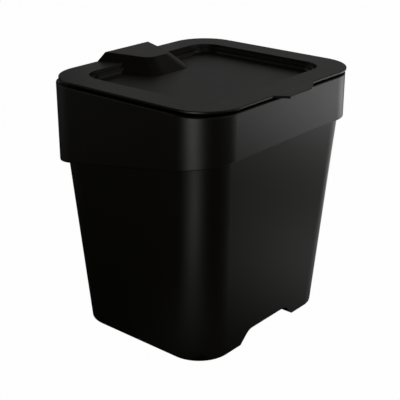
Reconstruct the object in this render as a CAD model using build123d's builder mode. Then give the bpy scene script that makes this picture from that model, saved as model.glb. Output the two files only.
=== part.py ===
from build123d import *
from math import tan, radians
import os

os.makedirs("parts", exist_ok=True)

# Countertop trash bin: a tapered bucket, a lift-off collar that hides the bag's rim,
# and a hinged lid. Millimetres, +Z up, front face towards -Y, standing on Z = 0.
# The origin is the middle of the footprint of the whole bin, finger tab included.

# Bucket
base_width = 157.0
base_depth = 133.0
base_corner = 27.0
bucket_height = 193.3
mouth_corner = 25.0
bucket_wall = 2.0
floor_underside = 13.0
floor_thickness = 2.2
floor_round = 5.0
rim_round = 0.7
foot_round = 0.4

# Grip notch in the front of the foot, with a finger pocket behind it
notch_foot_width = 68.2
notch_top_width = 48.5
notch_height = 10.3
notch_round = 10.0
pocket_depth = 10.0
pocket_wall = 2.8

# Collar
collar_width = 183.8
collar_depth = 163.8
collar_corner = 29.2
collar_wall = 1.9
collar_front_height = 34.7
collar_slant = 10.0
collar_flange = 2.2
collar_edge_round = 1.0
seat_clearance = 0.3
bag_gap = 1.5
lip_wall = 1.8
lip_depth = 15.0

# Lid plate, its locating skirt and its finger tab
lid_gap = 2.7
lid_thickness = 1.5
lid_corner_extra = 2.0
lid_overhang = 1.7
lid_edge_round = 0.5
skirt_clearance = 0.8
skirt_wall = 1.6
skirt_depth = 8.2
tab_reach = 6.9
tab_base_width = 49.9
tab_tip_width = 26.4
tab_thickness = 1.8
tab_drop = 1.6
tab_edge_round = 0.4
tab_round = 1.2

# Stepped recess sunk in the lid
recess_rim = 20.0
recess_corner = 18.0
recess_step = 2.4
recess_ledge = 3.5
recess_depth = 6.8
recess_draft = 8.0
recess_floor_round = 2.5
pan_wall = 2.0

# Hinge: two pins, each through two lid knuckles and one collar lug
hinge_inset = 3.9
hinge_rise = 1.2
pin_radius = 1.5
pin_clearance = 0.05
pin_chamfer = 0.3
pin_end_gap = 0.3
knuckle_radius = 2.6
lug_width = 5.0
knuckle_width = 4.0
cheek_width = 3.6
cheek_stop = 1.0
side_clearance = 0.4
lug_neck_front = 1.4
lug_neck_back = 1.9
lug_slot_front = 4.4
inner_knuckle_start = 8.6

# Wedge-shaped hinge cover
cover_rise = 5.8
cover_slope = 2.3
cover_wall = 1.5
cover_back_width_top = 48.7
cover_back_width_foot = 87.0
cover_front_width_top = 22.0
cover_front_width_foot = 42.0
cover_length_top = 34.4
cover_length_foot = 51.0
cover_corner_top = 9.0
cover_corner_foot = 15.0
cover_edge_round = 0.5
leg_width = 6.0
leg_thickness = 1.5
leg_clearance = 0.2
leg_hook = 0.8
leg_hook_height = 1.2
leg_hook_edge = 0.4
front_leg_spacing = 12.0
front_leg_inset = 34.5
rear_leg_spacing = 35.5
rear_leg_inset = 14.0
keeper_depth = 3.0

# Soft buffers that the closed lid rests on
buffer_radius = 2.6
buffer_spacing = 116.0
buffer_edge_inset = 4.4
buffer_pocket = 0.5
buffer_round = 0.5

# Heights
collar_top = bucket_height + seat_clearance + collar_flange
lid_underside = collar_top + lid_gap
lid_top = lid_underside + lid_thickness
ledge_level = lid_top - recess_step
recess_floor = lid_top - recess_depth
floor_top = floor_underside + floor_thickness
flange_underside = collar_top - collar_flange
lip_bottom = flange_underside - lip_depth
cover_top = lid_top + cover_rise
hinge_level = lid_top + hinge_rise

# Outlines that follow from the collar
mouth_width = collar_width - 2 * (collar_wall + seat_clearance)
mouth_depth = collar_depth - 2 * (collar_wall + seat_clearance)
lip_outer_inset = collar_wall + seat_clearance + bucket_wall + bag_gap
lip_inner_inset = lip_outer_inset + lip_wall
skirt_outer_inset = lip_inner_inset + skirt_clearance
skirt_inner_inset = skirt_outer_inset + skirt_wall
tab_root = 2 * lid_edge_round
lid_corner = collar_corner + lid_corner_extra

# Places along Y: the bin's centre line lies behind the origin, because the tab reaches forward
front_reach = collar_depth / 2 + lid_overhang + tab_reach
back_reach = collar_depth / 2
centre_y = (front_reach - back_reach) / 2
lid_centre_y = centre_y - lid_overhang
lid_back_y = lid_centre_y + collar_depth / 2
lid_front_y = lid_centre_y - collar_depth / 2
hinge_y = lid_back_y - hinge_inset

buffer_y = centre_y - collar_depth / 2 + buffer_edge_inset
pocket_y = centre_y - base_depth / 2 + pocket_depth

# Lower edge of the collar: level along X, dropping to the back
slant_plane = Plane(
    origin=(0, centre_y - collar_depth / 2, collar_top - collar_front_height),
    x_dir=(1, 0, 0),
    z_dir=(0, tan(radians(collar_slant)), 1),
)

# Places along X of the hinge pieces, from the middle outwards
inner_knuckle_end = inner_knuckle_start + knuckle_width
lug_start = inner_knuckle_end + side_clearance
lug_end = lug_start + lug_width
cheek_start = lug_end + side_clearance
cheek_end = cheek_start + cheek_width
pin_start = inner_knuckle_start - pin_end_gap
pin_end = cheek_end - cheek_stop - pin_end_gap
bore_radius = pin_radius + pin_clearance
lug_centre = lug_start + lug_width / 2
lug_slot_width = lug_width + 2 * side_clearance
lug_slot_length = hinge_inset + lug_slot_front
hinge_zone_start = pin_start
hinge_zone_end = cheek_end + side_clearance

# Post of the hinge cover between the inner ends of the two pins
keeper_half_width = pin_start - pin_end_gap
keeper_length = hinge_inset + keeper_depth

# Snap legs of the hinge cover, which hook under the lid's pan in front and its plate behind
leg_slot_width = leg_width + 2 * leg_clearance
leg_slot_thickness = leg_thickness + 2 * leg_clearance
front_leg_y = lid_back_y - front_leg_inset
rear_leg_y = lid_back_y - rear_leg_inset


def level(height, y=centre_y):
    """Horizontal plane at a height, with its origin on the bin's centre line."""
    return Plane(origin=(0, y, height))


def across(x):
    """Plane across the hinge axis at x, with its origin on the axis, local x to the back."""
    return Plane(origin=(x, hinge_y, hinge_level), x_dir=(0, 1, 0), z_dir=(1, 0, 0))


def collar_outline(inset, mode=Mode.ADD):
    """Rounded rectangle that runs inside the collar's outline."""
    width = collar_width - 2 * inset
    depth = collar_depth - 2 * inset
    RectangleRounded(width, depth, collar_corner - inset, mode=mode)


def mouth_outline(outset):
    """Rounded rectangle that runs outside the bucket's mouth."""
    RectangleRounded(mouth_width + 2 * outset, mouth_depth + 2 * outset, mouth_corner + outset)


def lid_outline(inset):
    """Rounded rectangle that runs inside the lid's outline."""
    RectangleRounded(collar_width - 2 * inset, collar_depth - 2 * inset, lid_corner - inset)


def recess_outline(inset):
    """Rounded rectangle that runs inside the recess's upper edge, or outside it below zero."""
    width = collar_width - 2 * (recess_rim + inset)
    depth = collar_depth - 2 * (recess_rim + inset)
    RectangleRounded(width, depth, recess_corner - inset)


def bucket_section(height, inset):
    """Section of the tapered bucket at a height, drawn in from its outer face."""
    share = height / bucket_height
    width = base_width + (mouth_width - base_width) * share
    depth = base_depth + (mouth_depth - base_depth) * share
    corner = base_corner + (mouth_corner - base_corner) * share
    with BuildSketch(level(height)) as section:
        RectangleRounded(width - 2 * inset, depth - 2 * inset, corner - inset)
    return section.sketch.face()


def bucket_body(low, high, inset, mode=Mode.ADD):
    """Tapered body between two sections of the bucket."""
    loft([bucket_section(low, inset), bucket_section(high, inset)], ruled=True, mode=mode)


def notch_prism(y, length, margin, height, corner, mode):
    """Prism of the grip notch from a plane at y to the front, drawn out to the sides by a margin."""
    slope = (notch_foot_width - notch_top_width) / (2 * notch_height)
    foot = notch_foot_width / 2 + margin
    top = foot - slope * height
    with BuildSketch(Plane(origin=(0, y, 0), x_dir=(1, 0, 0), z_dir=(0, -1, 0))) as outline:
        with BuildLine():
            Polyline((-foot, 0), (-top, height), (top, height), (foot, 0), close=True)
        make_face()
        fillet(outline.vertices().group_by(Axis.Y)[-1], corner)
    extrude(outline.sketch, amount=length, mode=mode)


def wedge_section(height, inset):
    """Section of the hinge cover at a height: a trapezoid that narrows to the front."""
    share = (height - recess_floor) / (cover_top - recess_floor)
    back = cover_back_width_foot + (cover_back_width_top - cover_back_width_foot) * share
    front = cover_front_width_foot + (cover_front_width_top - cover_front_width_foot) * share
    length = cover_length_foot + (cover_length_top - cover_length_foot) * share
    corner = cover_corner_foot + (cover_corner_top - cover_corner_foot) * share
    with BuildSketch(level(height, lid_back_y)) as section:
        with BuildLine():
            Polyline(
                (-back / 2, 0),
                (-front / 2, -length),
                (front / 2, -length),
                (back / 2, 0),
                close=True,
            )
        make_face()
        fillet(section.vertices().group_by(Axis.Y)[0], corner)
        offset(amount=-inset, kind=Kind.INTERSECTION, mode=Mode.REPLACE)
    return section.sketch.face()


def wedge_body(low, high, inset, mode=Mode.ADD):
    """Body of the hinge cover between two heights."""
    loft([wedge_section(low, inset), wedge_section(high, inset)], ruled=True, mode=mode)


def knuckle_profile(front, back, depth):
    """Round head on the hinge axis with a straight foot below it."""
    Circle(knuckle_radius)
    with Locations(((back - front) / 2, -depth / 2)):
        Rectangle(front + back, depth)


def roof_plane(drop):
    """Top of the hinge cover, which falls towards the front, or a plane below it by a drop."""
    return Plane(
        origin=(0, lid_back_y, cover_top - drop),
        x_dir=(1, 0, 0),
        z_dir=(0, -tan(radians(cover_slope)), 1),
    )


def snap_leg(x, y, outward, underside):
    """Leg of the hinge cover whose hook points outward below an underside of the lid."""
    leg_top = cover_top - (lid_back_y - y) * tan(radians(cover_slope)) - cover_wall / 2
    catch = underside - leg_clearance
    foot = catch - leg_hook_height
    near = -leg_thickness / 2
    far = leg_thickness / 2
    sideways = Vector(outward).cross(Vector(0, 0, 1))
    with BuildSketch(Plane(origin=(x, y, 0), x_dir=outward, z_dir=sideways)) as leg:
        with BuildLine():
            Polyline(
                (near, leg_top),
                (near, foot),
                (far, foot),
                (far + leg_hook, catch - leg_hook_edge),
                (far + leg_hook, catch),
                (far, catch),
                (far, leg_top),
                close=True,
            )
        make_face()
    extrude(leg.sketch, amount=leg_width / 2, both=True)


# Inside of the bucket, above its raised floor
with BuildPart() as bucket_cavity:
    bucket_body(floor_top, bucket_height, bucket_wall)
    fillet(bucket_cavity.faces().sort_by(Axis.Z)[0].edges(), floor_round)

# Bucket: tapered shell whose foot is a hollow skirt below the raised floor
with BuildPart() as bucket:
    bucket_body(0, bucket_height, 0)
    fillet(bucket.faces().sort_by(Axis.Z)[0].edges(), foot_round)
    add(bucket_cavity.part, mode=Mode.SUBTRACT)
    bucket_body(0, floor_underside, bucket_wall, mode=Mode.SUBTRACT)
    fillet(bucket.faces().sort_by(Axis.Z)[-1].edges(), rim_round)
    pocket_length = pocket_depth - bucket_wall / 2
    pocket_height = floor_underside + floor_thickness / 2
    notch_prism(pocket_y, pocket_length, pocket_wall, pocket_height, floor_thickness / 2, Mode.ADD)
    notch_prism(centre_y, base_depth, 0, notch_height, notch_round, Mode.SUBTRACT)
bucket.part.label = "bucket"
export_step(bucket.part, "parts/bucket.step")

# Collar: slanted skirt outside the bucket, flange over its rim and lip inside it
with BuildPart() as collar:
    with BuildSketch(level(0)):
        collar_outline(0)
    extrude(amount=collar_top)
    with BuildSketch(level(0)):
        mouth_outline(seat_clearance)
    extrude(amount=flange_underside, mode=Mode.SUBTRACT)
    split(bisect_by=slant_plane, keep=Keep.TOP)
    slanted_edge = collar.faces().sort_by(Axis(slant_plane.origin, slant_plane.z_dir))[0]
    fillet(slanted_edge.outer_wire().edges(), collar_edge_round)
    fillet(collar.faces().sort_by(Axis.Z)[-1].edges(), collar_edge_round)
    with BuildSketch(level(lip_bottom)):
        collar_outline(lip_outer_inset)
    extrude(amount=lip_depth)
    with BuildSketch(level(lip_bottom)):
        collar_outline(lip_inner_inset)
    extrude(amount=collar_top - lip_bottom, mode=Mode.SUBTRACT)
    for side in (-1, 1):
        with BuildSketch(across(side * lug_centre)):
            knuckle_profile(lug_neck_front, lug_neck_back, hinge_level - flange_underside)
        extrude(amount=lug_width / 2, both=True)
        with BuildSketch(across(side * lug_centre)):
            Circle(bore_radius)
        extrude(amount=lug_width, both=True, mode=Mode.SUBTRACT)
        with BuildSketch(level(collar_top, buffer_y)):
            with Locations((side * buffer_spacing / 2, 0)):
                Circle(buffer_radius)
        extrude(amount=-buffer_pocket, mode=Mode.SUBTRACT)
collar.part.label = "collar"
export_step(collar.part, "parts/collar.step")

# Space of the two-step recess in the lid
with BuildPart() as recess:
    with BuildSketch(level(lid_top, lid_centre_y)):
        recess_outline(0)
    extrude(amount=-recess_step, taper=recess_draft)
    with BuildSketch(level(ledge_level, lid_centre_y)):
        recess_outline(recess_ledge)
    extrude(amount=recess_floor - ledge_level, taper=recess_draft)
    fillet(recess.faces().sort_by(Axis.Z)[0].edges(), recess_floor_round)

# Finger tab: a flat root inside the plate's outline, then a lip that slopes down to its tip
with BuildPart() as tab:
    with BuildSketch(level(lid_top, lid_front_y)) as tab_outline:
        with BuildLine():
            Polyline(
                (-tab_base_width / 2, tab_root),
                (-tab_base_width / 2, 0),
                (-tab_tip_width / 2, -tab_reach),
                (tab_tip_width / 2, -tab_reach),
                (tab_base_width / 2, 0),
                (tab_base_width / 2, tab_root),
                close=True,
            )
        make_face()
        fillet(tab_outline.vertices().group_by(Axis.Y)[0], tab_round)
    extrude(amount=-tab_drop - tab_thickness)
    with BuildSketch(Plane(origin=(0, lid_front_y, lid_top), x_dir=(0, 1, 0), z_dir=(1, 0, 0))):
        with BuildLine():
            Polyline(
                (tab_root, 0),
                (0, 0),
                (-tab_reach, -tab_drop),
                (-tab_reach, -tab_drop - tab_thickness),
                (0, -lid_thickness),
                (tab_root, -lid_thickness),
                close=True,
            )
        make_face()
    extrude(amount=tab_base_width, both=True, mode=Mode.INTERSECT)
    lip_top = tab.faces().sort_by(Axis.Z)[-2]
    fillet(lip_top.edges().sort_by(Axis.Y)[:-1], tab_edge_round)

# Lid: thin plate with finger tab, sunk pan, locating skirt and hinge knuckles
with BuildPart() as lid:
    with BuildSketch(level(lid_underside, lid_centre_y)):
        lid_outline(0)
    extrude(amount=lid_thickness)
    fillet(lid.faces().sort_by(Axis.Z)[-1].edges(), lid_edge_round)
    add(tab.part)
    with BuildSketch(level(lid_underside, lid_centre_y)):
        recess_outline(-pan_wall)
    extrude(amount=ledge_level - pan_wall - lid_underside)
    with BuildSketch(level(lid_underside, lid_centre_y)):
        recess_outline(recess_ledge - pan_wall)
    extrude(amount=recess_floor - pan_wall - lid_underside)
    add(recess.part, mode=Mode.SUBTRACT)
    with BuildSketch(level(lid_underside)):
        collar_outline(skirt_outer_inset)
        collar_outline(skirt_inner_inset, mode=Mode.SUBTRACT)
    extrude(amount=-skirt_depth)
    for side in (-1, 1):
        for start, width in ((inner_knuckle_start, knuckle_width), (cheek_start, cheek_width)):
            with BuildSketch(across(side * (start + width / 2))):
                knuckle_profile(knuckle_radius, knuckle_radius, hinge_level - lid_underside)
            extrude(amount=width / 2, both=True)
        with BuildSketch(level(lid_underside, lid_back_y)):
            with Locations((side * lug_centre, -lug_slot_length / 2)):
                Rectangle(lug_slot_width, lug_slot_length)
        extrude(amount=lid_thickness, mode=Mode.SUBTRACT)
        with BuildSketch(level(lid_top, 0)):
            with Locations((side * front_leg_spacing / 2, front_leg_y)):
                Rectangle(leg_slot_width, leg_slot_thickness)
            with Locations((side * rear_leg_spacing / 2, rear_leg_y)):
                Rectangle(leg_slot_thickness, leg_slot_width)
        extrude(amount=-recess_depth - pan_wall, mode=Mode.SUBTRACT)
    with BuildSketch(across(0)):
        Circle(bore_radius)
    extrude(amount=cheek_end - cheek_stop, both=True, mode=Mode.SUBTRACT)
lid.part.label = "lid"
export_step(lid.part, "parts/lid.step")

# Hollow under the hinge cover
with BuildPart() as cover_hollow:
    wedge_body(recess_floor, cover_top, cover_wall)
    split(bisect_by=roof_plane(cover_wall), keep=Keep.BOTTOM)

# Space above the lid's surface, which the hinge cover fills down to the recess
with BuildPart() as above_lid:
    with BuildSketch(level(lid_top, lid_centre_y)):
        lid_outline(0)
    extrude(amount=cover_rise)
    add(recess.part)

# Hinge cover: hollow wedge that snaps down over the hinge and traps the two pins
with BuildPart() as hinge_cover:
    wedge_body(recess_floor, cover_top, 0)
    split(bisect_by=roof_plane(0), keep=Keep.BOTTOM)
    fillet(hinge_cover.faces().sort_by(Axis.Z)[-1].edges(), cover_edge_round)
    add(cover_hollow.part, mode=Mode.SUBTRACT)
    add(above_lid.part, mode=Mode.INTERSECT)
    with BuildSketch(level(lid_top, lid_back_y)):
        with Locations((0, -keeper_length / 2)):
            Rectangle(2 * keeper_half_width, keeper_length)
    extrude(amount=cover_rise - cover_wall / 2)
    for side in (-1, 1):
        zone_width = hinge_zone_end - hinge_zone_start
        with BuildSketch(level(lid_top, lid_back_y)):
            with Locations((side * (hinge_zone_start + zone_width / 2), -cover_wall / 2)):
                Rectangle(zone_width, cover_wall)
        extrude(amount=cover_rise - cover_wall, mode=Mode.SUBTRACT)
        snap_leg(side * front_leg_spacing / 2, front_leg_y, (0, -1, 0), recess_floor - pan_wall)
        snap_leg(side * rear_leg_spacing / 2, rear_leg_y, (side, 0, 0), lid_underside)
hinge_cover.part.label = "hinge_cover"
export_step(hinge_cover.part, "parts/hinge_cover.step")

# Hinge pins and lid buffers, one of each on either side
for side, name in ((-1, "left"), (1, "right")):
    with BuildPart() as hinge_pin:
        with BuildSketch(across(side * (pin_start + pin_end) / 2)):
            Circle(pin_radius)
        extrude(amount=(pin_end - pin_start) / 2, both=True)
        chamfer(hinge_pin.edges().filter_by(GeomType.CIRCLE), pin_chamfer)
    hinge_pin.part.label = "hinge_pin_" + name
    export_step(hinge_pin.part, "parts/hinge_pin_" + name + ".step")

    with BuildPart() as lid_buffer:
        with BuildSketch(level(collar_top - buffer_pocket, buffer_y)):
            with Locations((side * buffer_spacing / 2, 0)):
                Circle(buffer_radius)
        extrude(amount=lid_gap + buffer_pocket - seat_clearance)
        fillet(lid_buffer.edges().group_by(Axis.Z)[-1], buffer_round)
    lid_buffer.part.label = "lid_buffer_" + name
    export_step(lid_buffer.part, "parts/lid_buffer_" + name + ".step")
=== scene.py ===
# %% [markdown]
# # A countertop trash bin in black plastic
#
# The CAD model is the frame of this lesson. Its eight pieces already have their real size and
# place, so Blender adds only what the eye sees: the finish of each surface, the studio and the
# camera. Everything is in metres. The bin stands on z = 0 with its front towards -Y.

# %% Load the frame
from math import cos, pi, radians, sin

import bpy
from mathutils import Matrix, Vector


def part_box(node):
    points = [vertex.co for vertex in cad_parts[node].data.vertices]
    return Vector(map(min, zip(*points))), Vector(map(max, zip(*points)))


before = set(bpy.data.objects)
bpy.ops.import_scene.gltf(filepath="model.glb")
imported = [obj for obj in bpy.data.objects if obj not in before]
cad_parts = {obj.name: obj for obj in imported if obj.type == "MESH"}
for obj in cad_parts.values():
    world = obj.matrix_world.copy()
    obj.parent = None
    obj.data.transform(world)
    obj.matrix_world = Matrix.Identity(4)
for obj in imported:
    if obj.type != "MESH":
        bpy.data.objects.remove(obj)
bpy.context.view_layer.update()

scene = bpy.context.scene
print("pieces:", sorted(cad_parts))

# %% [markdown]
# ## Camera
#
# A product shot is taken from some way off with a long lens, so that upright edges stay nearly
# parallel. The angles below say where the viewer stands: azimuth is measured round the bin from
# its front, elevation above the worktop. The camera could also be placed by its coordinates, but
# aiming it at a point near the middle of the bin keeps the two angles apart from the framing,
# which makes both easy to correct.

# %% Camera
view_azimuth = radians(-49.79)
view_elevation = radians(21.945)
view_distance = 0.7718
view_target = Vector((-0.00334, 0.00456, 0.09408))
sensor_width_mm = 36.0
lens_mm = 87.05


def direction(azimuth, elevation):
    """Unit vector from the bin towards someone at this azimuth and elevation."""
    level = cos(elevation)
    return Vector((sin(azimuth) * level, -cos(azimuth) * level, sin(elevation)))


camera_data = bpy.data.cameras.new("camera")
camera_data.sensor_width = sensor_width_mm
camera_data.lens = lens_mm
camera = bpy.data.objects.new("camera", camera_data)
camera.location = view_target + view_distance * direction(view_azimuth, view_elevation)
camera.rotation_euler = (view_target - camera.location).to_track_quat("-Z", "Y").to_euler()
scene.collection.objects.link(camera)
scene.camera = camera
scene.view_settings.view_transform = "Standard"
print("camera at", [round(v, 3) for v in camera.location])

# %% [markdown]
# ## Small helpers for node trees
#
# Every material below is a few nodes wired in code. One helper adds a node and fills its
# sockets, one does arithmetic on sockets or plain numbers, two mix colours or shaders by a mask,
# and one stretches a span of values to another. With them a line of code reads like the sentence
# that describes it.

# %% Node helpers
# A Mix node has sockets for each kind of value it can mix. These are the numbers of its colours.
mix_plain, mix_other, mix_result = 6, 7, 2


def feed(tree, socket, value):
    """Links another socket to this one, or sets it when the value is a number or a colour."""
    if isinstance(value, bpy.types.NodeSocket):
        tree.links.new(value, socket)
    else:
        socket.default_value = value


def add_node(tree, kind, settings=None, **sockets):
    """Adds a node, sets its properties, and fills or links its input sockets by name."""
    made = tree.nodes.new(kind)
    for name, value in (settings or {}).items():
        setattr(made, name, value)
    for name, value in sockets.items():
        feed(tree, made.inputs[name.replace("_", " ")], value)
    return made


def work_out(tree, operation, *terms):
    """One step of arithmetic on sockets or numbers; returns the socket with the result."""
    made = add_node(tree, "ShaderNodeMath", {"operation": operation})
    for socket, term in zip(made.inputs, terms):
        feed(tree, socket, term)
    return made.outputs[0]


def mix_colours(tree, mask, plain, other):
    """Plain where the mask is 0, other where it is 1."""
    made = add_node(tree, "ShaderNodeMix", {"data_type": "RGBA"})
    feed(tree, made.inputs["Factor"], mask)
    feed(tree, made.inputs[mix_plain], plain)
    feed(tree, made.inputs[mix_other], other)
    return made.outputs[mix_result]


def mix_shaders(tree, mask, plain, other):
    """The same for two shader nodes; returns the node that mixes them."""
    made = add_node(tree, "ShaderNodeMixShader")
    for socket, value in zip(made.inputs, (mask, plain.outputs[0], other.outputs[0])):
        feed(tree, socket, value)
    return made


def stretch(tree, value, low, high, new_low=0.0, new_high=1.0):
    """Maps the span low..high of a value to new_low..new_high, smoothly and without overshoot."""
    made = add_node(tree, "ShaderNodeMapRange", {"interpolation_type": "SMOOTHSTEP"}, Value=value)
    ends = {"From Min": low, "From Max": high, "To Min": new_low, "To Max": new_high}
    for name, number in ends.items():
        feed(tree, made.inputs[name], number)
    return made.outputs[0]


def object_place(tree):
    """Position in the piece's own metres, so that a pattern moves with its piece."""
    return add_node(tree, "ShaderNodeTexCoord").outputs["Object"]


print("helpers ready")

# %% [markdown]
# ## White room
#
# The background has to be paper white without flooding the bin with light. A white world alone
# would do both. Light Path tells the rays apart instead: rays from the camera, and those that a
# gloss or a glass sends on, see a strength of 1, while the rays that light the bin see a much
# dimmer room.

# %% World
paper_white = (1, 1, 1, 1)
room_light = 0.125


def background_rays(tree):
    """1 for rays that should see the white background: from the camera, a gloss or a glass."""
    rays = add_node(tree, "ShaderNodeLightPath").outputs
    seen = work_out(tree, "MAXIMUM", rays["Is Camera Ray"], rays["Is Glossy Ray"])
    return work_out(tree, "MAXIMUM", seen, rays["Is Transmission Ray"])


world = bpy.data.worlds.new("white_room")
world.use_nodes = True
scene.world = world
tree = world.node_tree
room = tree.nodes["Background"]
feed(tree, room.inputs["Color"], paper_white)
feed(tree, room.inputs["Strength"], room_light)
white = add_node(tree, "ShaderNodeBackground", Color=paper_white, Strength=1.0)
mixed = mix_shaders(tree, background_rays(tree), room, white)
feed(tree, tree.nodes["World Output"].inputs["Surface"], mixed.outputs[0])
print("room light", room_light)

# %% [markdown]
# ## Floor
#
# The worktop is a plain sheet. A floor of white paint would turn grey wherever a lamp falls off,
# so most of it glows evenly for the camera, by the same test of rays as the world. A small share
# of real paint stays in the mix, and keeps a faint soft shadow beside the bin.

# %% Floor
floor_half = 6.0
floor_white_share = 0.985
floor_colour = (0.9, 0.9, 0.9, 1)
square = ((-1, -1), (1, -1), (1, 1), (-1, 1))


def sheet_object(name, corners, faces):
    """New mesh object from corners and faces, linked to the scene."""
    mesh = bpy.data.meshes.new(name)
    mesh.from_pydata(corners, [], faces)
    made = bpy.data.objects.new(name, mesh)
    scene.collection.objects.link(made)
    return made


def studio_material(name):
    """Material with nodes but without the usual shader, for something that isn't the bin."""
    material = bpy.data.materials.new(name)
    material.use_nodes = True
    material.node_tree.nodes.remove(material.node_tree.nodes["Principled BSDF"])
    return material


def show_shader(tree, shader):
    """Makes this shader node the one that the material shows."""
    feed(tree, tree.nodes["Material Output"].inputs["Surface"], shader.outputs[0])


floor_corners = [(floor_half * x, floor_half * y, 0) for x, y in square]
floor = sheet_object("floor", floor_corners, [(0, 1, 2, 3)])
floor_paint = studio_material("floor_paint")
tree = floor_paint.node_tree
matt = add_node(tree, "ShaderNodeBsdfDiffuse", Color=floor_colour)
glow = add_node(tree, "ShaderNodeEmission", Strength=1.0)
glow_share = work_out(tree, "MULTIPLY", background_rays(tree), floor_white_share)
show_shader(tree, mix_shaders(tree, glow_share, matt, glow))
floor.data.materials.append(floor_paint)
print("floor", 2 * floor_half, "m wide")

# %% [markdown]
# ## What the black plastic mirrors
#
# Black plastic has almost no colour of its own. What draws its shape is the studio that it
# mirrors. Lamps alone would show up in it as hard bright squares, so that studio is built on
# purpose: a dark round tent that only glossy rays can see, with soft pools of light on its walls
# and floor. A low pool on the right brightens the front face towards its right edge, a narrow
# one on the left draws the line down the rounded corner, and weak ones high at the back give the
# lid its even grey. A pool's centre may lie outside the tent, and then only its soft side shows.

# %% Light pools
# Each pool: azimuth and distance from the bin, height, width of the bell curve, and brightness
light_pools = {
    "right": (66, 0.84, 0.05, 0.30, 2.45),
    "beside the bin": (54, 0.16, 0.00, 0.11, 0.20),
    "right rear": (107, 0.36, 0.00, 0.17, 1.15),
    "left strip": (-74, 0.79, 0.00, 0.23, 2.7),
    "left strip, near": (-68, 0.31, 0.00, 0.08, 0.72),
    "left strip, at the foot": (-65, 0.17, 0.00, 0.06, 0.13),
    "front, high": (21, 1.60, 0.73, 0.74, 0.60),
    "back right, high": (119, 1.20, 0.87, 0.62, 0.20),
    "above the tab": (108, 1.30, 1.15, 0.14, 0.60),
    "back, low": (138, 1.30, 0.30, 0.11, 0.40),
    "back left, high": (-155, 0.90, 0.62, 0.37, 1.80),
    "lid, seen from behind": (-50, 1.30, 0.60, 0.40, 0.30),
}
print(len(light_pools), "pools of light")

# %% Tent
tent_radius = 1.3
tent_height = 1.8
tent_sides = 64
tent_floor_level = 0.0004


def tent_ring(height):
    """Points round the tent at this height."""
    turns = [2 * pi * k / tent_sides for k in range(tent_sides)]
    return [(tent_radius * sin(turn), -tent_radius * cos(turn), height) for turn in turns]


def show_to_gloss_only(piece):
    """Part of the studio that lights nothing and that only glossy rays can see."""
    piece.visible_camera = False
    piece.visible_diffuse = False
    piece.visible_shadow = False
    piece.visible_transmission = False


tent_floor = tuple(range(tent_sides))
tent_roof = tuple(range(tent_sides, 2 * tent_sides))
neighbours = [(k, (k + 1) % tent_sides) for k in range(tent_sides)]
tent_walls = [(k, after, tent_sides + after, tent_sides + k) for k, after in neighbours]
tent_corners = tent_ring(tent_floor_level) + tent_ring(tent_height)
tent = sheet_object("mirrored_tent", tent_corners, [tent_floor, tent_roof, *tent_walls])
show_to_gloss_only(tent)
print("tent", 2 * tent_radius, "m across and", tent_height, "m high")

# %% [markdown]
# The pools could be lamps or glowing discs, one object each. Here one shader adds them all up:
# a pool fades with the distance from its centre as a bell curve, which has no visible edge.

# %% Tent cloth
tent_cloth = studio_material("tent_cloth")
tent_cloth.cycles.emission_sampling = "NONE"
tree = tent_cloth.node_tree
place = object_place(tree)
brightness = 0.0
for azimuth, reach, height, width, strength in light_pools.values():
    centre = (reach * sin(radians(azimuth)), -reach * cos(radians(azimuth)), height)
    away = add_node(tree, "ShaderNodeVectorMath", {"operation": "DISTANCE"})
    feed(tree, away.inputs[0], place)
    feed(tree, away.inputs[1], centre)
    share = work_out(tree, "POWER", work_out(tree, "DIVIDE", away.outputs["Value"], width), 2.0)
    bell = work_out(tree, "EXPONENT", work_out(tree, "MULTIPLY", share, -1.0))
    brightness = work_out(tree, "MULTIPLY_ADD", bell, strength, brightness)
show_shader(tree, add_node(tree, "ShaderNodeEmission", Strength=brightness))
tent.data.materials.append(tent_cloth)
print("painted the tent in", len(tree.nodes), "nodes")

# %% [markdown]
# The pools are painted on the floor as if no bin stood there. A black card in the bin's
# footprint puts back the darkness under it, which the slanted cuts of the grip notch mirror.

# %% Dark footprint
card_inset = 0.002
card_level = 2 * tent_floor_level


def plan_at(node, level, reach=0.002):
    """Centre along Y, half width and half depth of a node's vertices near a height."""
    near = [v.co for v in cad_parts[node].data.vertices if abs(v.co.z - level) < reach]
    low_y, high_y = min(p.y for p in near), max(p.y for p in near)
    return (low_y + high_y) / 2, max(p.x for p in near), (high_y - low_y) / 2


foot_centre_y, foot_half_width, foot_half_depth = plan_at("bucket", 0.0)
card_x, card_y = foot_half_width - card_inset, foot_half_depth - card_inset
card_corners = [(card_x * x, foot_centre_y + card_y * y, card_level) for x, y in square]
footprint = sheet_object("dark_footprint", card_corners, [(0, 1, 2, 3)])
black_card = studio_material("black_card")
tree = black_card.node_tree
show_shader(tree, add_node(tree, "ShaderNodeEmission", Strength=0.0))
footprint.data.materials.append(black_card)
show_to_gloss_only(footprint)
print("footprint card", round(2 * card_x, 3), "by", round(2 * card_y, 3), "m")

# %% [markdown]
# ## Lamps
#
# The tent lights nothing, it is only mirrored. Three broad lamps and the room give the plain
# light that colours are judged by. They are hidden from glossy rays, because the tent has
# already drawn every reflection.

# %% Lamps
lamp_distance = 0.9
lamp_size = 0.6
lamp_aim = Vector((0, 0, 0.12))

# Each lamp: azimuth and elevation in degrees, and how bright its face is
softboxes = {
    "right_lamp": (65, 25, 1.0),
    "top_lamp": (100, 80, 0.75),
    "left_lamp": (-75, 25, 0.075),
}


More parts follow.
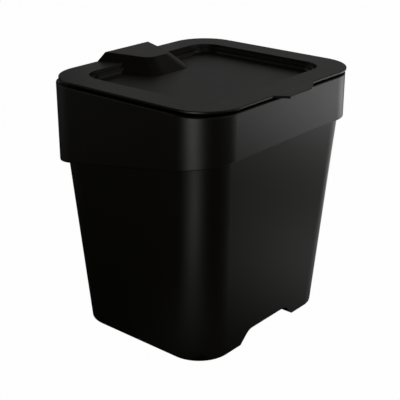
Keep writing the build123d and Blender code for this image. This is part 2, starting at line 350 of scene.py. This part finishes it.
def softbox(name, azimuth, elevation, radiance):
    """Square lamp facing the bin. Its power grows with its area for the same brightness."""
    lamp_data = bpy.data.lights.new(name, "AREA")
    lamp_data.size = lamp_size
    lamp_data.energy = radiance * pi * lamp_size ** 2
    lamp = bpy.data.objects.new(name, lamp_data)
    lamp.location = lamp_aim + lamp_distance * direction(radians(azimuth), radians(elevation))
    lamp.rotation_euler = (lamp_aim - lamp.location).to_track_quat("-Z", "Y").to_euler()
    lamp.visible_glossy = False
    scene.collection.objects.link(lamp)


for name, lamp_place in softboxes.items():
    softbox(name, *lamp_place)

# %% [markdown]
# ## Building a shader group
#
# Grain, scratches, wear and dust come back in several materials. Each is a shader group, a small
# node tree of its own with named sockets, which is built once and then placed in a material with
# that material's own numbers. Most of them start from a noise whose blobs have a known size.

# %% Group helpers
def new_group(name, inputs, outputs):
    """Empty shader group with named sockets; returns the group, what it is given and its results."""
    group = bpy.data.node_groups.new(name, "ShaderNodeTree")
    for title, value in inputs.items():
        socket = group.interface.new_socket(title, in_out="INPUT", socket_type="NodeSocketFloat")
        socket.default_value = value
    for title in outputs:
        group.interface.new_socket(title, in_out="OUTPUT", socket_type="NodeSocketFloat")
    entry = group.nodes.new("NodeGroupInput")
    leave = group.nodes.new("NodeGroupOutput")
    return group, entry.outputs, leave.inputs


def place_group(tree, group, sockets):
    """Puts a shader group in a material, with its own values; returns the outputs."""
    placed = add_node(tree, "ShaderNodeGroup", {"node_tree": group})
    for title, value in sockets.items():
        feed(tree, placed.inputs[title], value)
    return placed.outputs


def noise(tree, place, size, detail=2.0):
    """Noise whose blobs are about this size, from 0 to 1."""
    scale = work_out(tree, "DIVIDE", 1.0, size)
    made = add_node(tree, "ShaderNodeTexNoise", Vector=place, Scale=scale, Detail=detail)
    return made.outputs["Fac"]


print("group helpers ready")

# %% [markdown]
# ## Moulded grain
#
# The mould of such a bin is spark-eroded, which leaves a fine, even grain on the plastic and
# takes the wet look off it. A noise gives the grain and a softer cell pattern its tiny pits.
# The same group also puts out a slow waviness, the sink and flow of a cooling wall: tens of
# millimetres long and only hundredths of a millimetre high. Both are heights, for a Bump node,
# since neither is deep enough to show in the outline.

# %% Group: moulded grain
pits_per_grain = 1.6
pit_share = 0.5
grain_detail = 3.0
wave_detail = 1.0

moulded_grain, given, result = new_group(
    "moulded_grain", {"Grain Size": 0.0008, "Wave Size": 0.035}, ["Grain", "Waviness"])
tree = moulded_grain
place = object_place(tree)
grains = noise(tree, place, given["Grain Size"], grain_detail)
pit_scale = work_out(tree, "DIVIDE", pits_per_grain, given["Grain Size"])
pits = add_node(tree, "ShaderNodeTexVoronoi", {"feature": "SMOOTH_F1"}, Vector=place, Scale=pit_scale)
pitted = work_out(tree, "MULTIPLY_ADD", pits.outputs["Distance"], pit_share, grains)
feed(tree, result["Grain"], pitted)
feed(tree, result["Waviness"], noise(tree, place, given["Wave Size"], wave_detail))
print("made", moulded_grain.name)

# %% [markdown]
# ## Handled gloss
#
# Hands and cloths polish a bin unevenly. Broad smudges and finer wiping marks move the roughness
# a little up and down. It is the cheapest way to stop a large dark face from looking computed,
# as long as the change stays small. The two weights add up to 2, so that the middle of both
# noises is 1, and taking 1 away leaves a swing about zero.

# %% Group: handled gloss
smudge_weight = 1.6
wiping_weight = 0.4
wiping_fineness = 0.15
wiping_detail = 3.0

handled_gloss, given, result = new_group(
    "handled_gloss", {"Roughness": 0.3, "Spread": 0.04, "Smudge Size": 0.03}, ["Roughness"])
tree = handled_gloss
place = object_place(tree)
smudges = noise(tree, place, given["Smudge Size"])
wiping_size = work_out(tree, "MULTIPLY", given["Smudge Size"], wiping_fineness)
wiping = noise(tree, place, wiping_size, wiping_detail)
marks = work_out(tree, "MULTIPLY", smudges, smudge_weight)
marks = work_out(tree, "MULTIPLY_ADD", wiping, wiping_weight, marks)
swing = work_out(tree, "MULTIPLY", work_out(tree, "SUBTRACT", marks, 1.0), given["Spread"])
feed(tree, result["Roughness"], work_out(tree, "ADD", given["Roughness"], swing))
print("made", handled_gloss.name)

# %% [markdown]
# ## Fine scratches
#
# Wiping leaves hair-thin scratches. They could be drawn one by one, but a noise that is squeezed
# along one direction makes long streaks, and keeping only a thin slice of its values turns a
# streak into a line. Three such fields at different angles cross each other, and a coarser noise
# breaks them up.

# %% Group: fine scratches
scratch_angles = (12, 68, 131)
scratch_slice = 0.012
streak_detail = 1.0
noise_middle = 0.5
unscratched, scratched = 0.45, 0.6

fine_scratches, given, result = new_group(
    "fine_scratches", {"Length": 0.05, "Spacing": 0.004}, ["Scratches"])
tree = fine_scratches
place = object_place(tree)
long_way = work_out(tree, "DIVIDE", 1.0, given["Length"])
short_way = work_out(tree, "DIVIDE", 1.0, given["Spacing"])
squeeze = add_node(tree, "ShaderNodeCombineXYZ", X=long_way, Y=short_way, Z=short_way)
lines = 0.0
for angle in scratch_angles:
    turned = add_node(tree, "ShaderNodeMapping", Vector=place, Rotation=(0, 0, radians(angle)))
    squeezed = add_node(tree, "ShaderNodeVectorMath", {"operation": "MULTIPLY"})
    feed(tree, squeezed.inputs[0], turned.outputs[0])
    feed(tree, squeezed.inputs[1], squeeze.outputs[0])
    streaks = noise(tree, squeezed.outputs[0], size=1.0, detail=streak_detail)
    off = work_out(tree, "ABSOLUTE", work_out(tree, "SUBTRACT", streaks, noise_middle))
    line = stretch(tree, off, 0.0, scratch_slice, 1.0, 0.0)
    lines = work_out(tree, "MAXIMUM", line, lines)
patches = stretch(tree, noise(tree, place, given["Length"]), unscratched, scratched)
feed(tree, result["Scratches"], work_out(tree, "MULTIPLY", lines, patches))
print("made", fine_scratches.name, "with", len(scratch_angles), "directions")

# %% [markdown]
# ## Distance from a rim
#
# Edges are where plastic wears first, so a material has to know where they are. Every rim of this
# bin is a rectangle with rounded corners at some height. The distance to such a line can be
# worked out from the position alone: fold the plan into one quarter, measure to the corner's
# round centre, and join that with the height difference by Pythagoras. It needs no extra mesh.

# %% Group: rim distance
rim_sockets = {"Centre Y": 0.0, "Half Width": 0.09, "Half Depth": 0.08, "Corner": 0.03, "Level": 0.2}
rim_distance, given, result = new_group("rim_distance", rim_sockets, ["Distance"])
tree = rim_distance


def squared(tree, value):
    """The square of a socket's value."""
    return work_out(tree, "POWER", value, 2.0)


x, y, z = add_node(tree, "ShaderNodeSeparateXYZ", Vector=object_place(tree)).outputs
past_x = work_out(tree, "SUBTRACT", work_out(tree, "ABSOLUTE", x), given["Half Width"])
from_middle = work_out(tree, "ABSOLUTE", work_out(tree, "SUBTRACT", y, given["Centre Y"]))
past_y = work_out(tree, "SUBTRACT", from_middle, given["Half Depth"])
over_x = work_out(tree, "ADD", past_x, given["Corner"])
over_y = work_out(tree, "ADD", past_y, given["Corner"])
corner_x = squared(tree, work_out(tree, "MAXIMUM", over_x, 0.0))
corner_y = squared(tree, work_out(tree, "MAXIMUM", over_y, 0.0))
outside = work_out(tree, "SQRT", work_out(tree, "ADD", corner_x, corner_y))
inside = work_out(tree, "MINIMUM", work_out(tree, "MAXIMUM", over_x, over_y), 0.0)
beyond_rim = work_out(tree, "SUBTRACT", work_out(tree, "ADD", outside, inside), given["Corner"])
rise = work_out(tree, "SUBTRACT", z, given["Level"])
both = work_out(tree, "ADD", squared(tree, beyond_rim), squared(tree, rise))
feed(tree, result["Distance"], work_out(tree, "SQRT", both))
print("made", rim_distance.name)

# %% [markdown]
# ## Edge wear and painted highlight
#
# Wear is strongest on the edge and fades over about a millimetre, in uneven patches. The group
# takes the distance from a rim and puts out a mask. What wear does to colour and gloss is left
# to the material, because it scuffs one piece and polishes another. The plastic also uses this
# mask to lighten its rims, partly as wear and partly as a painted highlight on the rounded edges.

# %% Group: edge wear and painted highlight
# Up to this share of the wear's width the edge is fully worn
fully_worn = 0.2
patch_detail = 4.0
patch_low, patch_high = 0.35, 0.65
least_wear = 0.25

edge_wear_and_highlight, given, result = new_group(
    "edge_wear_and_highlight", {"Distance": 0.0, "Width": 0.0012, "Patch Size": 0.012}, ["Wear"])
tree = edge_wear_and_highlight
share = work_out(tree, "DIVIDE", given["Distance"], given["Width"])
near = stretch(tree, share, fully_worn, 1.0, 1.0, 0.0)
patches = noise(tree, object_place(tree), given["Patch Size"], patch_detail)
patches = stretch(tree, patches, patch_low, patch_high, least_wear, 1.0)
feed(tree, result["Wear"], work_out(tree, "MULTIPLY", near, patches))
print("made", edge_wear_and_highlight.name)

# %% [markdown]
# ## Settled dust
#
# Dust lies only on faces that look up, in a thin uneven film with a few specks. The direction of
# the surface decides where, so the dust stays on top and needs no painting by hand.

# %% Group: settled dust
sloping, level_face = 0.7, 1.0
film_patch = 0.02
film_detail = 4.0
film_low, film_high = 0.35, 0.7
speck_detail = 1.0
speck_low, speck_high = 0.72, 0.78

settled_dust, given, result = new_group(
    "settled_dust", {"Film": 0.5, "Speck Size": 0.0016}, ["Dust"])
tree = settled_dust
place = object_place(tree)
surface_direction = add_node(tree, "ShaderNodeTexCoord").outputs["Normal"]
facing = add_node(tree, "ShaderNodeSeparateXYZ", Vector=surface_direction).outputs["Z"]
upward = stretch(tree, facing, sloping, level_face)
film = stretch(tree, noise(tree, place, film_patch, film_detail), film_low, film_high)
film = work_out(tree, "MULTIPLY", film, given["Film"])
specks = noise(tree, place, given["Speck Size"], speck_detail)
specks = stretch(tree, specks, speck_low, speck_high)
dust = work_out(tree, "MAXIMUM", film, specks)
feed(tree, result["Dust"], work_out(tree, "MULTIPLY", dust, upward))
print("made", settled_dust.name)

# %% [markdown]
# ## Where the rims are
#
# Plan and height of each rim come from the frame. Only the corner radii, the gap under the lid,
# its thickness and the buffers' pocket are numbers of the CAD model that a box doesn't tell. The
# lid has the plan of the collar, set back so far that its back edge lies where the lid's box
# ends; the finger tab in front is left out of that plan.

# %% Rims
foot_corner = 0.027
collar_corner = 0.0292
lid_corner = 0.0312
lid_gap = 0.0027
lid_thickness = 0.0015
buffer_pocket = 0.0005

collar_low, collar_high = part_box("collar")
_, lid_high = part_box("lid")
buffer_low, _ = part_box("lid_buffer_left")
half_width = (collar_high.x - collar_low.x) / 2
half_depth = (collar_high.y - collar_low.y) / 2
collar_centre_y = (collar_low.y + collar_high.y) / 2
lid_centre_y = lid_high.y - half_depth
collar_top = buffer_low.z + buffer_pocket
lid_top = collar_top + lid_gap + lid_thickness
rims = {
    "foot": (foot_centre_y, foot_half_width, foot_half_depth, foot_corner, 0.0),
    "collar": (collar_centre_y, half_width, half_depth, collar_corner, collar_top),
    "lid": (lid_centre_y, half_width, half_depth, lid_corner, lid_top),
}
for name, rim in rims.items():
    print(name, "rim:", [round(v, 4) for v in rim])

# %% [markdown]
# ## The moulded plastic
#
# Bucket, collar, lid and hinge cover are one family: the same black plastic from different
# moulds. Four copies of one material would drift apart, so one function builds it, and each
# piece gives it its own rim, wear and dust. Along the rims the black turns a little greyer: partly
# wear, partly a painted highlight for the thin bright lines on the rounded edges. The wear scuffs
# the rims of bucket and collar and polishes the lid's, where hands go. Scratches roughen the gloss,
# dust lies over the colour, and grain and waviness bend the normal.

# %% Plastic material
black = (0.0104, 0.0092, 0.0068, 1)
# Greyer black for the rims: partly wear, partly a painted highlight for the bright lines on the
# rounded edges
worn_and_highlit_black = (0.020, 0.0184, 0.0152, 1)
dust_grey = (0.22, 0.21, 0.19, 1)
plastic_roughness = 0.30
grain_height = 0.000006
wave_height = 0.00004


def plain_material(name):
    """Material with nodes; returns it, its node tree and the shader in it."""
    material = bpy.data.materials.new(name)
    material.use_nodes = True
    return material, material.node_tree, material.node_tree.nodes["Principled BSDF"]


def bump(tree, height, distance):
    """Bump node that lets a height from 0 to 1 bend the normal as if it rose this far."""
    return add_node(tree, "ShaderNodeBump", Height=height, Distance=distance, Strength=1.0)


def moulded_plastic(name, rim, worn_step, scratch_step, dust_share):
    """Black moulded plastic; the steps say how much wear and scratches roughen it."""
    material, tree, shader = plain_material(name)
    edge = place_group(tree, rim_distance, dict(zip(rim_sockets, rim)))["Distance"]
    wear_and_highlight = place_group(tree, edge_wear_and_highlight, {"Distance": edge})["Wear"]
    scratches = place_group(tree, fine_scratches, {})["Scratches"]
    dust = place_group(tree, settled_dust, {})["Dust"]
    dust = work_out(tree, "MULTIPLY", dust, dust_share)
    # Rims turn greyer: wear, and a painted highlight along the rounded edges
    colour = mix_colours(tree, wear_and_highlight, black, worn_and_highlit_black)
    feed(tree, shader.inputs["Base Color"], mix_colours(tree, dust, colour, dust_grey))

    gloss = place_group(tree, handled_gloss, {"Roughness": plastic_roughness})["Roughness"]
    gloss = work_out(tree, "MULTIPLY_ADD", scratches, scratch_step, gloss)
    gloss = work_out(tree, "MULTIPLY_ADD", wear_and_highlight, worn_step, gloss)
    feed(tree, shader.inputs["Roughness"], gloss)

    relief = place_group(tree, moulded_grain, {})
    waves = bump(tree, relief["Waviness"], wave_height)
    bumps = bump(tree, relief["Grain"], grain_height)
    feed(tree, bumps.inputs["Normal"], waves.outputs["Normal"])
    feed(tree, shader.inputs["Normal"], bumps.outputs["Normal"])
    return material


bucket_plastic = moulded_plastic(
    "bucket_plastic", rims["foot"], worn_step=0.20, scratch_step=0.03, dust_share=0.0)
collar_plastic = moulded_plastic(
    "collar_plastic", rims["collar"], worn_step=0.45, scratch_step=0.03, dust_share=0.012)
lid_plastic = moulded_plastic(
    "lid_plastic", rims["lid"], worn_step=-0.04, scratch_step=0.06, dust_share=0.020)
print("plastics:", bucket_plastic.name, collar_plastic.name, lid_plastic.name)

# %% [markdown]
# ## Steel pins
#
# The hinge turns on two short steel pins, cut from drawn wire. The die leaves faint rings round
# them. A noise that reads only the position along the pin has the same value all the way round,
# which is just such a ring, and the same noise serves colour and bump.

# %% Pin steel
steel_shade = (0.42, 0.41, 0.40, 1)
steel_bright = (0.58, 0.57, 0.55, 1)
ring_spacing = 0.0004
ring_height = 0.000004
pin_gloss = {"Roughness": 0.28, "Spread": 0.06, "Smudge Size": 0.003}

pin_steel, tree, shader = plain_material("pin_steel")
feed(tree, shader.inputs["Metallic"], 1.0)
along = add_node(tree, "ShaderNodeSeparateXYZ", Vector=object_place(tree)).outputs["X"]
along_only = add_node(tree, "ShaderNodeCombineXYZ", X=along).outputs[0]
rings = noise(tree, along_only, ring_spacing)
feed(tree, shader.inputs["Base Color"], mix_colours(tree, rings, steel_shade, steel_bright))
feed(tree, shader.inputs["Roughness"], place_group(tree, handled_gloss, pin_gloss)["Roughness"])
feed(tree, shader.inputs["Normal"], bump(tree, rings, ring_height).outputs["Normal"])
print("made", pin_steel.name)

# %% [markdown]
# ## Rubber buffers
#
# The closed lid rests on two soft rubber dots: matt, a little greyer than the plastic, with a
# velvety grain. They reuse the plastic's groups with smaller sizes, because a pattern that suits
# a bucket would be one flat patch on a dot five millimetres wide.

# %% Buffer rubber
rubber_dark = (0.010, 0.010, 0.009, 1)
rubber_light = (0.018, 0.017, 0.016, 1)
rubber_dust_share = 0.02
rubber_grain_height = 0.00002
rubber_relief = {"Grain Size": 0.0005, "Wave Size": 0.003}
rubber_dust = {"Speck Size": 0.0006}
rubber_gloss = {"Roughness": 0.72, "Spread": 0.06, "Smudge Size": 0.003}

buffer_rubber, tree, shader = plain_material("buffer_rubber")
relief = place_group(tree, moulded_grain, rubber_relief)
rubber = mix_colours(tree, relief["Waviness"], rubber_dark, rubber_light)
dust = place_group(tree, settled_dust, rubber_dust)["Dust"]
dust = work_out(tree, "MULTIPLY", dust, rubber_dust_share)
feed(tree, shader.inputs["Base Color"], mix_colours(tree, dust, rubber, dust_grey))
feed(tree, shader.inputs["Roughness"], place_group(tree, handled_gloss, rubber_gloss)["Roughness"])
bumps = bump(tree, relief["Grain"], rubber_grain_height)
feed(tree, shader.inputs["Normal"], bumps.outputs["Normal"])
print("made", buffer_rubber.name)

# %% [markdown]
# ## Dress the pieces
#
# Each piece of the frame keeps its mesh and takes its finish through its material slot. The
# wedge over the hinge is moulded like the lid that it sits on, so the two share one plastic.

# %% Dress the pieces
finishes = {
    "bucket": bucket_plastic,
    "collar": collar_plastic,
    "lid": lid_plastic,
    "hinge_cover": lid_plastic,
    "hinge_pin_left": pin_steel,
    "hinge_pin_right": pin_steel,
    "lid_buffer_left": buffer_rubber,
    "lid_buffer_right": buffer_rubber,
}
for node, finish in finishes.items():
    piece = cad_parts[node]
    piece.data.materials.clear()
    piece.data.materials.append(finish)
    print(node, "wears", finish.name, "on", len(piece.data.polygons), "faces")

# %% [markdown]
# ## End of the scene

# %% End of the scene
print("scene built")
